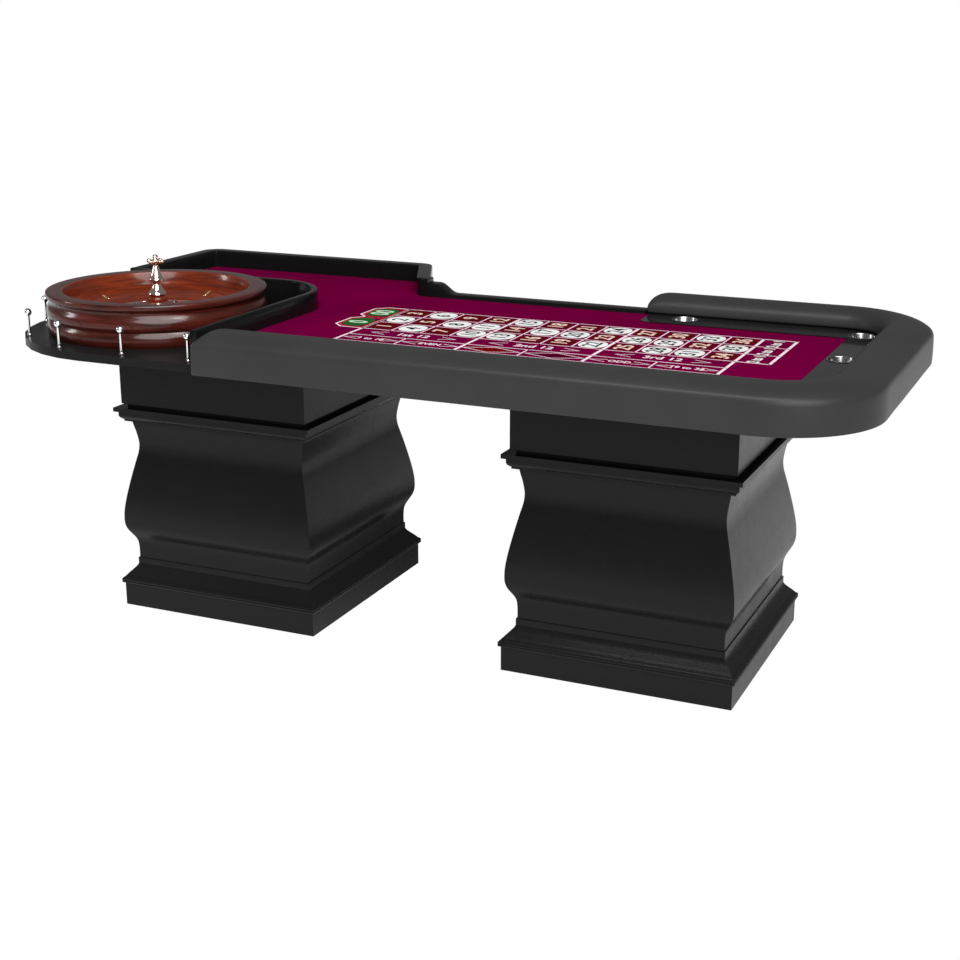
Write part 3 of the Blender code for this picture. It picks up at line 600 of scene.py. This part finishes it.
def frame_line(points, width, level=0):
    """A closed printed line."""
    walk = stations([(x, y, 0) for x, y in points], closed=True)
    outer = [point + normal * width / 2 for point, normal in walk]
    inner = [point - normal * width / 2 for point, normal in walk]
    low = PRINT_Z + level * PRINT_THICK
    high = low + PRINT_THICK
    rings = [[(*o, low), (*i, low), (*i, high), (*o, high)] for o, i in zip(outer, inner)]
    return skin(rings, closed=True)


def lettering(text, x, y, height, turn, level, stretch=1.0, z=None, thick=PRINT_THICK, outline=0.0):
    """Printed text, centred, as a mesh."""
    curve = bpy.data.curves.new("lettering", "FONT")
    curve.body = text
    curve.size = height * 1.38
    curve.align_x = "CENTER"
    curve.align_y = "CENTER"
    curve.resolution_u = 3
    curve.extrude = thick / 2
    curve.offset = outline
    holder = bpy.data.objects.new("lettering", curve)
    mesh = bpy.data.meshes.new_from_object(holder)
    bm = bmesh.new()
    bm.from_mesh(mesh)
    bpy.data.objects.remove(holder)
    bpy.data.curves.remove(curve)
    bpy.data.meshes.remove(mesh)
    low = (PRINT_Z + level * PRINT_THICK) if z is None else z
    placed = Matrix.Translation((x, y, low + thick / 2)) @ Matrix.Rotation(turn, 4, "Z")
    bmesh.ops.transform(bm, matrix=placed @ Matrix.Diagonal((stretch, 1, 1, 1)), verts=bm.verts)
    return bm


def cell_centre(number):
    column = (number - 1) // 3
    row = (number - 1) % 3
    return GRID_LEFT + (column + 0.5) * PITCH, GRID_FRONT + (row + 0.5) * ROW


def hexagon(low_y, high_y, inset):
    """The zero boxes: a box whose two outer corners are cut off."""
    left, right, cut = ZERO_LEFT + inset, GRID_LEFT - inset * 0.8, 0.030 - inset * 0.35
    low, high = low_y + inset, high_y - inset
    return [
        (left, low + cut), (left + cut, low), (right, low), (right, high), (left + cut, high), (left, high - cut),
    ]


def chevrons(parts, x0, x1, y, half):
    """A fork at each end of a word, as on printed layouts."""
    for tip, way in ((x0, 1), (x1, -1)):
        end = tip + way * 0.046
        parts.append(bar(end, y + half, tip, y, 0.0028))
        parts.append(bar(end, y - half, tip, y, 0.0028))


def layout_print():
    """All the printed shapes, gathered by ink."""
    inks = {name: [] for name in INKS}
    white = inks["white"]
    thin, heavy = THIN_LINE, HEAVY_LINE
    for column in range(13):
        x = GRID_LEFT + column * PITCH
        if column % 4 == 0:
            white.append(bar(x, GRID_BACK, x, OUTSIDE_FRONT, heavy))
        else:
            white.append(bar(x, GRID_BACK, x, GRID_FRONT, thin))
    for row in range(4):
        y = GRID_FRONT + row * ROW
        white.append(bar(GRID_LEFT, y, GRID_RIGHT, y, thin))
        white.append(bar(GRID_RIGHT, y, COLUMN_RIGHT, y, thin if row in (1, 2) else heavy * 0.7))
    white.append(bar(COLUMN_RIGHT, GRID_BACK, COLUMN_RIGHT, GRID_FRONT, heavy))
    white.append(bar(GRID_LEFT, DOZEN_FRONT, GRID_RIGHT, DOZEN_FRONT, thin))
    white.append(bar(GRID_LEFT, OUTSIDE_FRONT, GRID_RIGHT, OUTSIDE_FRONT, thin))
    for number in range(1, 37):
        x, y = cell_centre(number)
        red = number in RED_NUMBERS
        inks["red" if red else "pale"].append(oval(x, y, PITCH * 0.43, ROW * 0.42, 0, power=0.85))
        digits = lettering(str(number), x, y, 0.046, UP_LEFT, 1, 0.95, outline=0.0012)
        inks["cream" if red else "black"].append(digits)
    middle_y = (GRID_BACK + GRID_FRONT) / 2
    for text, low, high in (("0", GRID_FRONT, middle_y), ("00", middle_y, GRID_BACK)):
        white.append(frame_line(hexagon(low, high, 0.000), 0.0055))
        inks["line_red"].append(frame_line(hexagon(low, high, 0.0085), 0.0050))
        x, y = (GRID_LEFT + ZERO_LEFT) / 2, (low + high) / 2
        inks["green"].append(oval(x, y, 0.0400, 0.0560, 0, power=0.9))
        inks["mint"].append(lettering(text, x, y, 0.058, UP_LEFT, 1, 0.85, outline=0.0018))
    dozen_y = (GRID_FRONT + DOZEN_FRONT) / 2
    for index, text in enumerate(("1st 12", "2nd 12", "3rd 12")):
        x = GRID_LEFT + (4 * index + 2) * PITCH
        white.append(lettering(text, x, dozen_y, 0.030, 0, 0, 0.95, outline=0.0010))
        chevrons(white, x - 0.128, x + 0.128, dozen_y, 0.016)
    outside_y = (DOZEN_FRONT + OUTSIDE_FRONT) / 2
    for index, text in enumerate(("1 to 18", "EVEN", "", "", "ODD", "19 to 36")):
        x = GRID_LEFT + (2 * index + 1) * PITCH
        if index % 2:
            white.append(bar(x - PITCH, DOZEN_FRONT, x - PITCH, OUTSIDE_FRONT, thin))
        if text:
            white.append(lettering(text, x, outside_y, 0.021, 0, 0, 0.92, outline=0.0008))
            chevrons(white, x - 0.082, x + 0.082, outside_y, 0.014)
            continue
        half_x, half_y = 0.080, 0.031
        points = [
            (x - half_x, outside_y), (x, outside_y - half_y), (x + half_x, outside_y), (x, outside_y + half_y),
        ]
        white.append(frame_line(points, 0.0032, 1))
        ink = "diamond_red" if index == 2 else "diamond_dark"
        inks[ink].append(prism(points, PRINT_Z, PRINT_Z + PRINT_THICK))
    for row in range(3):
        y = GRID_FRONT + (row + 0.5) * ROW
        x = (GRID_RIGHT + COLUMN_RIGHT) / 2
        inks["pale"].append(lettering("2 to 1", x, y, 0.031, UP_LEFT, 0, 0.85, outline=0.0012))
    return inks


def felt():
    """The stretched cloth with its rolled edge, and the printing on it."""
    outline = felt_outline()
    walk = stations([(p.x, p.y, 0) for p in outline], closed=True)
    centre = sum(outline, Vector((0, 0))) / len(outline)
    inward = 1 if (centre - outline[0]).dot(walk[0][1]) > 0 else -1
    bm = bmesh.new()
    profile = [(0.0, FELT_BOTTOM), (0.0, FELT_TOP - 0.0008), (0.0004, FELT_TOP - 0.0002), (0.0012, FELT_TOP)]
    loops = []
    for side, z in profile:
        loops.append([bm.verts.new((*(p + n * side * inward), z)) for p, n in walk])
    for a, b in zip(loops, loops[1:]):
        for index in range(len(a)):
            bm.faces.new((a[index - 1], a[index], b[index], b[index - 1]))
    for loop in (loops[0], loops[-1]):
        face = bm.faces.new(loop)
        bmesh.ops.triangulate(bm, faces=[face])
    cloth_piece = piece("layout_cloth", bm, FELT, stands_for=["layout_felt"], sharp=60)
    for name, parts in layout_print().items():
        piece(f"layout_print_{name}", joined(parts), INKS[name])


# --- Cups and posts ---------------------------------------------------------------------------

def cups():
    """Drawn stainless cups: a rolled lip, a straight wall and a rounded bottom."""
    for number in range(1, 7):
        name = f"cup_holder_{number}"
        low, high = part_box(name)
        centre = (low + high) / 2
        flange, bottom, top = (high.x - low.x) / 2, low.z, high.z
        wall, lip = 0.035, SHELF_TOP + GAP
        outside = [(0, bottom), (wall - 0.006, bottom), (wall - 0.0018, bottom + 0.0018), (wall, bottom + 0.006)]
        rim = [(wall, lip), (flange - 0.0008, lip), (flange, lip + 0.0006), (flange - 0.0006, lip + 0.0013)]
        roll = [(flange - 0.002, top), (wall + 0.0010, top), (wall - 0.0006, top - 0.0006), (wall - 0.0012, lip)]
        inside = [
            (wall - 0.0012, bottom + 0.0065), (wall - 0.0030, bottom + 0.0028), (wall - 0.007, bottom + 0.0012),
        ]
        pad = [(0.0240, bottom + 0.0012), (0.0230, bottom + 0.0020), (0, bottom + 0.0020)]
        bm = lathe(outside + rim + roll + inside + pad, 64)
        piece(f"cup_{number}", bm, STEEL, stands_for=[name], location=(centre.x, centre.y, 0))


def posts():
    """Chrome guard posts: a turned foot, a slim rod and a ball."""
    for number in range(1, 7):
        name = f"guard_post_{number}"
        low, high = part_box(name)
        centre = (low + high) / 2
        ball, rod, top = 0.0105, 0.004, high.z
        middle = top - ball
        foot = [
            (0, low.z), (0.0074, low.z), (0.0075, low.z + 0.0012), (0.0066, low.z + 0.0022),
            (0.0048, low.z + 0.0034),
        ]
        shaft = [(rod, low.z + 0.006), (rod, middle - ball - 0.0006), (0.0048, middle - ball + 0.0004)]
        start = math.asin(0.0050 / ball)
        steps = 14
        head = []
        for step in range(steps + 1):
            angle = start + (math.pi - start) * step / steps
            head.append((max(0.0, ball * math.sin(angle)), middle - ball * math.cos(angle)))
        head[-1] = (0, top)
        bm = lathe(foot + shaft + head, 32)
        piece(f"post_{number}", bm, CHROME, stands_for=[name],
              location=(centre.x, centre.y, 0), sharp=45)


# --- Wheel ------------------------------------------------------------------------------------

SIDES = 144
POCKETS = 38
APRON_INNER, APRON_INNER_Z = 0.1725, 0.8835
APRON_OUTER, APRON_OUTER_Z = 0.2555, 0.9115
TRACK_FOOT_Z = 0.9121       # the bowl's inside is polished above this height
TRACK_OUTER = 0.2680
STUD_RADIUS = 0.212
NUMBER_INNER, NUMBER_OUTER = 0.1512, 0.1646
NUMBER_INNER_Z, NUMBER_OUTER_Z = 0.8680, 0.8767
BELLS_FOOT_Z = 0.9263
ARMS_Z = 1.022
WHEEL_ORDER = [
    "0", "28", "9", "26", "30", "11", "7", "20", "32", "17", "5", "22", "34", "15", "3", "24", "36", "13", "1",
    "00", "27", "10", "25", "29", "12", "8", "19", "31", "18", "6", "21", "33", "16", "4", "23", "35", "14", "2",
]


def bowl():
    """The turned wooden bowl: lower ring, rim ring with the ball track inside, and the sloping apron."""
    low = SLAB_TOP + GAP
    base = smooth_line([
        (0.3030, low), (0.3048, low + 0.0025), (0.3068, 0.8345), (0.3095, 0.8390), (0.3114, 0.8440),
        (0.3120, 0.8495), (0.3112, 0.8590), (0.3085, 0.8660), (0.3052, 0.8720),
    ], 3)
    base_ring = [(0.2970, low)] + base + [(0.2970, 0.8720)]
    piece("bowl_lower_ring", lathe(base_ring, SIDES), BOWL_OUTSIDE, stands_for=["wheel_base_ring"],
          location=AXIS)
    belly = smooth_line([
        (0.3050, 0.8723), (0.3084, 0.8770), (0.3108, 0.8820), (0.3122, 0.8885), (0.3124, 0.8960),
        (0.3108, 0.9045), (0.3078, 0.9110), (0.3048, 0.9165), (0.3036, 0.9215), (0.3040, 0.9262),
    ], 3)
    lip = smooth_line([
        (0.3054, 0.9300), (0.3085, 0.9322), (0.3115, 0.9342), (0.3128, 0.9372), (0.3130, 0.9412),
        (0.3126, 0.9455), (0.3110, 0.9482), (0.3085, 0.9490),
    ], 3)
    track = smooth_line([
        (0.2690, 0.9490), (0.2660, 0.9484), (0.2644, 0.9462), (0.2622, 0.9400), (0.2594, 0.9300),
        (0.2576, 0.9200), (0.2566, 0.9150), (0.2560, 0.9120),
    ], 3)
    rim_ring = belly + lip + track + [(0.2560, 0.9020), (0.2900, 0.8723)]
    rim = piece("bowl_rim_ring", lathe(rim_ring, SIDES), BOWL_OUTSIDE, stands_for=["wheel_rim_ring"],
                location=AXIS)
    rim.data.materials.append(BOWL_INSIDE)
    for face in rim.data.polygons:
        middle = face.center
        radius = math.hypot(middle.x - WHEEL_X, middle.y - WHEEL_Y)
        face.material_index = 1 if radius < TRACK_OUTER and middle.z > TRACK_FOOT_Z else 0
    apron = smooth_line([
        (APRON_OUTER, 0.9112), (0.2520, 0.9100), (0.2200, 0.8993), (0.1850, 0.8875), (0.1745, 0.8840),
    ], 3)
    section = apron + [
        (0.1727, 0.8826), (APRON_INNER, 0.8755), (0.2440, 0.8990), (0.2440, 0.8376), (APRON_OUTER, 0.8376),
    ]
    piece("bowl_apron", lathe(section, SIDES), BOWL_INSIDE, stands_for=["ball_apron"],
          location=AXIS)


def deflectors():
    """Polished diamond studs, by turns along and across the ball's path."""
    for number in range(1, 9):
        name = f"deflector_{number}"
        low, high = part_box(name)
        centre = (low + high) / 2
        turn = math.atan2(centre.y - WHEEL_Y, centre.x - WHEEL_X)
        slope = math.atan2(APRON_OUTER_Z - APRON_INNER_Z, APRON_OUTER - APRON_INNER)
        rings = []
        steps = 20
        for step in range(steps + 1):
            t = step / steps * 2 - 1
            fall = max(0.02, 1 - abs(t) ** 1.6)
            half, tall = 0.0034 * fall, 0.0056 * fall
            x = t * 0.0168
            rings.append([
                (x, -half, 0.0004), (x, half, 0.0004), (x, half * 0.75, tall * 0.55),
                (x, half * 0.2, tall), (x, -half * 0.2, tall), (x, -half * 0.75, tall * 0.55),
            ])
        bm = skin(rings)
        height = APRON_INNER_Z + (STUD_RADIUS - APRON_INNER) * math.tan(slope) + 0.0003
        placed = Matrix.Translation((WHEEL_X, WHEEL_Y, 0)) @ Matrix.Rotation(turn, 4, "Z")
        placed = placed @ Matrix.Translation((STUD_RADIUS, 0, height)) @ Matrix.Rotation(-slope, 4, "Y")
        placed = placed @ Matrix.Rotation(number % 2 * math.pi / 2, 4, "Z")
        bmesh.ops.transform(bm, matrix=placed, verts=bm.verts)
        piece(f"stud_{number}", bm, BRASS, stands_for=[name], sharp=50)


def wedge(inner, outer, start, end, low, high_inner, high_outer, steps=5):
    """A sector of a ring whose top may slope."""
    rings = []
    for step in range(steps + 1):
        turn = start + (end - start) * step / steps
        c, s = math.cos(turn), math.sin(turn)
        rings.append([
            (inner * c, inner * s, low), (outer * c, outer * s, low),
            (outer * c, outer * s, high_outer), (inner * c, inner * s, high_inner),
        ])
    return skin(rings)


def number_colour(text):
    if text in ("0", "00"):
        return "green"
    return "red" if int(text) in RED_NUMBERS else "black"


def rotor():
    """Coloured pockets between brass frets, the number ring, the cone and the turret."""
    pitch = math.tau / POCKETS
    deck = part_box("pocket_ring")[0].z
    enamel = {"red": ENAMEL_RED, "black": ENAMEL_BLACK, "green": ENAMEL_GREEN}
    floors = {name: [] for name in enamel}
    labels = {name: [] for name in enamel}
    frets, digits = [], []
    for index, text in enumerate(WHEEL_ORDER):
        start = index * pitch
        end = start + pitch
        hair = pitch * 0.012
        name = number_colour(text)
        floors[name].append(wedge(0.1182, 0.1500, start + hair, end - hair, deck, 0.8580, 0.8600))
        labels[name].append(wedge(
            NUMBER_INNER, NUMBER_OUTER, start + hair, end - hair, deck, NUMBER_INNER_Z, NUMBER_OUTER_Z,
        ))
        half = pitch * 0.045
        frets.append(wedge(0.1182, 0.1505, start - half, start + half, 0.8578, 0.8668, 0.8672, 1))
        middle = start + pitch / 2
        radius = 0.1580
        tilt = math.atan2(NUMBER_OUTER_Z - NUMBER_INNER_Z, NUMBER_OUTER - NUMBER_INNER)
        digit = lettering(text, 0, 0, 0.0092, 0, 0, 0.85, z=0, thick=0.0002, outline=0.0002)
        placed = Matrix.Rotation(middle, 4, "Z") @ Matrix.Translation((radius, 0, 0.87245))
        placed = placed @ Matrix.Rotation(-tilt, 4, "Y") @ Matrix.Rotation(-math.pi / 2, 4, "Z")
        bmesh.ops.transform(digit, matrix=placed, verts=digit.verts)
        digits.append(digit)
    for name, material in enamel.items():
        piece(f"pocket_floor_{name}", joined(floors[name]), material, ROTOR,
              ["pocket_ring"] if name == "red" else (), AXIS)
        piece(f"number_cell_{name}", joined(labels[name]), material, ROTOR,
              ["number_ring"] if name == "black" else (), AXIS)
    piece("pocket_frets", joined(frets), BRASS, ROTOR, (), AXIS)
    piece("wheel_digits", joined(digits), ENAMEL_WHITE, ROTOR, (), AXIS)
    rail = smooth_line([
        (0.1650, 0.8775), (0.1660, 0.8793), (0.1680, 0.8800), (0.1696, 0.8790), (0.1700, 0.8765),
    ], 3)
    piece("rotor_rail", lathe([(0.1650, deck)] + rail + [(0.1700, deck)], SIDES), ROSE, ROTOR, (),
          AXIS)
    parting = [(0.1506, deck), (0.1506, 0.8684), (0.1511, 0.8684), (0.1511, deck)]
    piece("rotor_inner_rail", lathe(parting, SIDES), BRASS, ROTOR, (), AXIS)
    cone = smooth_line([
        (0.1168, 0.8690), (0.1150, 0.8712), (0.1110, 0.8728), (0.0860, 0.8830), (0.0600, 0.8932),
        (0.0400, 0.9035), (0.0320, 0.9087),
    ], 4)
    bore = [(0, 0.8930), (0.0080, 0.8930), (0.0080, 0.8523), (0.1170, 0.8523)]
    piece("rotor_cone_turned", lathe(bore + cone + [(0, 0.9095)], SIDES), CONE_WOOD, ROTOR, ["rotor_cone"],
          AXIS)
    dome = smooth_line([
        (0.0286, 0.9100), (0.0288, 0.9125), (0.0280, 0.9165), (0.0250, 0.9210), (0.0190, 0.9245),
        (0.0150, 0.9260),
    ], 4)
    piece("turret_dome", lathe([(0, 0.9100)] + dome + [(0, 0.9260)], 72), CONE_WOOD, ROTOR, ["turret_base"],
          AXIS)
    turret()


def turret():
    """Two bells on a stem and a four-armed handle with rounded ends."""
    low = BELLS_FOOT_Z
    lower = smooth_line([
        (0.0240, low), (0.0262, low + 0.0014), (0.0258, 0.9302), (0.0232, 0.9345), (0.0180, 0.9410),
        (0.0142, 0.9480), (0.0122, 0.9540),
    ], 4)
    neck = smooth_line([(0.0100, 0.9560), (0.0100, 0.9590), (0.0118, 0.9615), (0.0150, 0.9640)], 3)
    upper = smooth_line([
        (0.0190, 0.9668), (0.0222, 0.9692), (0.0224, 0.9716), (0.0208, 0.9748), (0.0170, 0.9812),
        (0.0132, 0.9900), (0.0096, 1.0000), (0.0078, 1.0060), (0.0070, 1.0080),
    ], 4)
    piece("turret_bells", lathe([(0, low)] + lower + neck + upper + [(0, 1.0080)], 72), ROSE, ROTOR,
          ["turret_body"], AXIS, 50)
    hub = smooth_line([
        (0.0066, 1.0083), (0.0066, 1.0120), (0.0090, 1.0160), (0.0100, 1.0220), (0.0088, 1.0265),
        (0.0060, 1.0292), (0.0062, 1.0312), (0.0080, 1.0342), (0.0074, 1.0374), (0.0046, 1.0402),
    ], 4)
    parts = [lathe([(0, 1.0083)] + hub + [(0, 1.0410)], 48)]
    reach = 0.0280
    arm = smooth_line([
        (0.0026, -reach + 0.0003), (0.0052, -reach + 0.0016), (0.0062, -reach + 0.0050),
        (0.0056, -reach + 0.0085), (0.0042, -reach + 0.0110), (0.0042, -0.0060),
    ], 3)
    arm = [(0, -reach)] + arm + [(radius, -z) for radius, z in reversed(arm)] + [(0, reach)]
    for axis in ("X", "Y"):
        bm = lathe(arm, 32)
        bmesh.ops.transform(bm, matrix=Matrix.Rotation(math.pi / 2, 4, axis), verts=bm.verts)
        bmesh.ops.translate(bm, verts=bm.verts, vec=(0, 0, ARMS_Z))
        parts.append(bm)
    piece("turret_handle", joined(parts), ROSE, ROTOR, ["turret_cross"], AXIS, 50)


# --- Stage ------------------------------------------------------------------------------------

def area_light(name, place, target, size, power):
    data = bpy.data.lights.new(name, "AREA")
    data.shape = "RECTANGLE"
    data.size, data.size_y = size
    data.energy = power
    obj = bpy.data.objects.new(name, data)
    obj.location = place
    obj.rotation_euler = (Vector(target) - Vector(place)).to_track_quat("-Z", "Y").to_euler()
    bpy.context.collection.objects.link(obj)


def backdrop():
    """A white sky that only the camera sees, so that it isn't mirrored in the lacquer."""
    bm = bmesh.new()
    bmesh.ops.create_uvsphere(bm, u_segments=48, v_segments=24, radius=80)
    mesh = bpy.data.meshes.new("backdrop")
    bm.to_mesh(mesh)
    bm.free()
    n = Nodes("backdrop_white", (0, 0, 0), 1.0, Specular_IOR_Level=0.0, Emission_Strength=1.0)
    n.shader.inputs["Emission Color"].default_value = (1, 1, 1, 1)
    mesh.materials.append(n.material)
    dome = bpy.data.objects.new("backdrop", mesh)
    dome.visible_diffuse = False
    dome.visible_glossy = False
    dome.visible_transmission = False
    dome.visible_volume_scatter = False
    dome.visible_shadow = False
    bpy.context.collection.objects.link(dome)


def stage():
    """The floor, the lights and the camera."""
    bm = bmesh.new()
    bmesh.ops.create_grid(bm, x_segments=1, y_segments=1, size=90)
    mesh = bpy.data.meshes.new("floor")
    bm.to_mesh(mesh)
    bm.free()
    n = Nodes("studio_floor", (0.93, 0.93, 0.93), 0.9, Specular_IOR_Level=0.1)
    n.rough(n.remap(n.noise(2, 3), 0.85, 0.95))
    mesh.materials.append(n.material)
    floor = bpy.data.objects.new("studio_floor", mesh)
    floor.location.z = -0.0005
    bpy.context.collection.objects.link(floor)
    floor.visible_camera = False
    world = bpy.data.worlds.new("studio")
    bpy.context.scene.world = world
    world.use_nodes = True
    background = world.node_tree.nodes["Background"]
    background.inputs["Color"].default_value = (1, 1, 1, 1)
    background.inputs["Strength"].default_value = 0.18
    backdrop()
    sun = bpy.data.lights.new("key", "SUN")
    sun.energy = 4.0
    sun.angle = math.radians(50)
    key = bpy.data.objects.new("key", sun)
    key.rotation_euler = Vector((0.50, -0.66, 0.52)).to_track_quat("Z", "Y").to_euler()
    bpy.context.collection.objects.link(key)
    area_light("overhead_softbox", (0.7, -1.7, 3.6), (0.6, -0.6, 0.9), (3.0, 0.6), 80)
    area_light("wheel_softbox", (-3.6, -1.4, 1.9), (WHEEL_X, WHEEL_Y, 0.9), (0.45, 0.7), 16)
    data = bpy.data.cameras.new("camera")
    camera = bpy.data.objects.new("camera", data)
    bpy.context.collection.objects.link(camera)
    camera.location = (1.8398, -4.0317, 1.7434)
    camera.rotation_euler = (math.radians(73.27), 0, math.radians(23.94))
    data.sensor_width = 36
    data.lens = 60.12
    data.clip_end = 2000
    bpy.context.scene.camera = camera
    bpy.context.scene.view_settings.view_transform = "Standard"


def main():
    dress_frame()
    for side in PEDESTALS:
        pedestal_body(side)
    armrest()
    felt()
    cups()
    posts()
    bowl()
    deflectors()
    rotor()
    stage()
    bpy.context.view_layer.update()


main()
